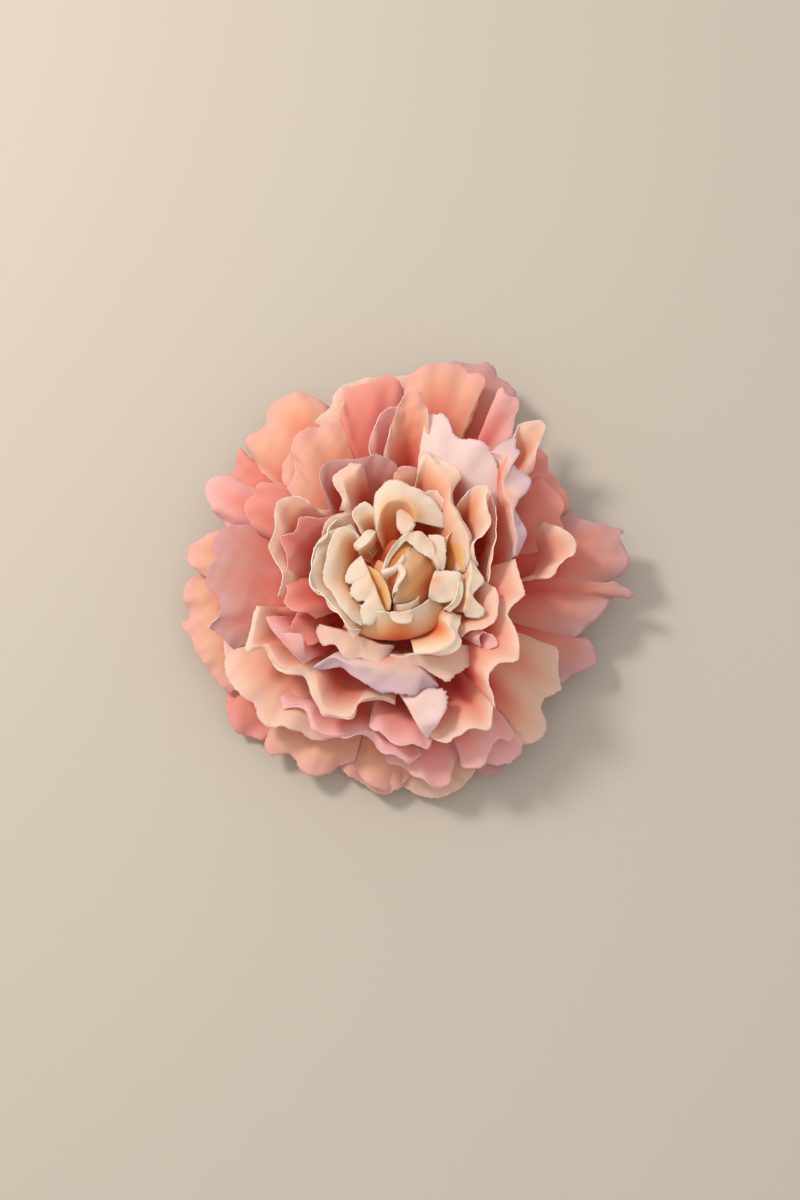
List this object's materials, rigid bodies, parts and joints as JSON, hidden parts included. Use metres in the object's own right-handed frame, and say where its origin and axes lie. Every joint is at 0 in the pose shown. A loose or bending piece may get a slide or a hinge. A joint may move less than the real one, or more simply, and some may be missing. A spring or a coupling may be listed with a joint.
{
  "type": "flower hair clip",
  "caption": "Layered fabric peony on a felt pad, glued to a sprung steel alligator clip whose toothed jaw opens on a hinge pin.",
  "frame": {"origin": "on the flat back of the clip's lower jaw, under the middle of the bloom", "axes": "+Z out through the middle of the bloom, +X along the clip towards its toothed tip"},
  "size_m": [0.099, 0.101, 0.0333],
  "materials": {
    "pressed_steel": "nickel plated",
    "spring_wire": "drawn wire",
    "felt": "pressed felt",
    "hot_glue": "cooled hot glue",
    "green_plastic": "moulded",
    "clear_plastic": "moulded, milky",
    "coral_fabric": "dyed polyester silk",
    "peach_fabric": "dyed polyester silk",
    "cream_fabric": "dyed polyester silk"
  },
  "bodies": {
    "flower": {"upper_jaw": "pressed_steel", "hinge_pin": "pressed_steel", "torsion_spring": "spring_wire", "felt_pad": "felt", "glue_bead_left": "hot_glue", "glue_bead_right": "hot_glue", "calyx": "green_plastic", "core_peg": "clear_plastic", "spreader_collar_lower": "clear_plastic", "spreader_collar_upper": "clear_plastic", "outer_petals_lower": "coral_fabric", "outer_petals_middle": "coral_fabric", "outer_petals_upper": "coral_fabric", "middle_petals_lower": "peach_fabric", "middle_petals_middle": "peach_fabric", "middle_petals_upper": "peach_fabric", "inner_petals_lower": "cream_fabric", "inner_petals_middle": "cream_fabric", "inner_petals_upper": "cream_fabric", "rolled_heart": "cream_fabric"},
    "jaw": {"lower_jaw": "pressed_steel"}
  },
  "joints": [
    {"name": "jaw_hinge", "type": "hinge", "parent": "flower", "child": "jaw", "pos_m": [-0.012, 0, 0.0035], "axis": [0, 1, 0], "range_deg": [0, 24], "stiffness_Nm_per_rad": 0.2, "springref_deg": -45.84, "deforming": ["torsion_spring"]}
  ]
}
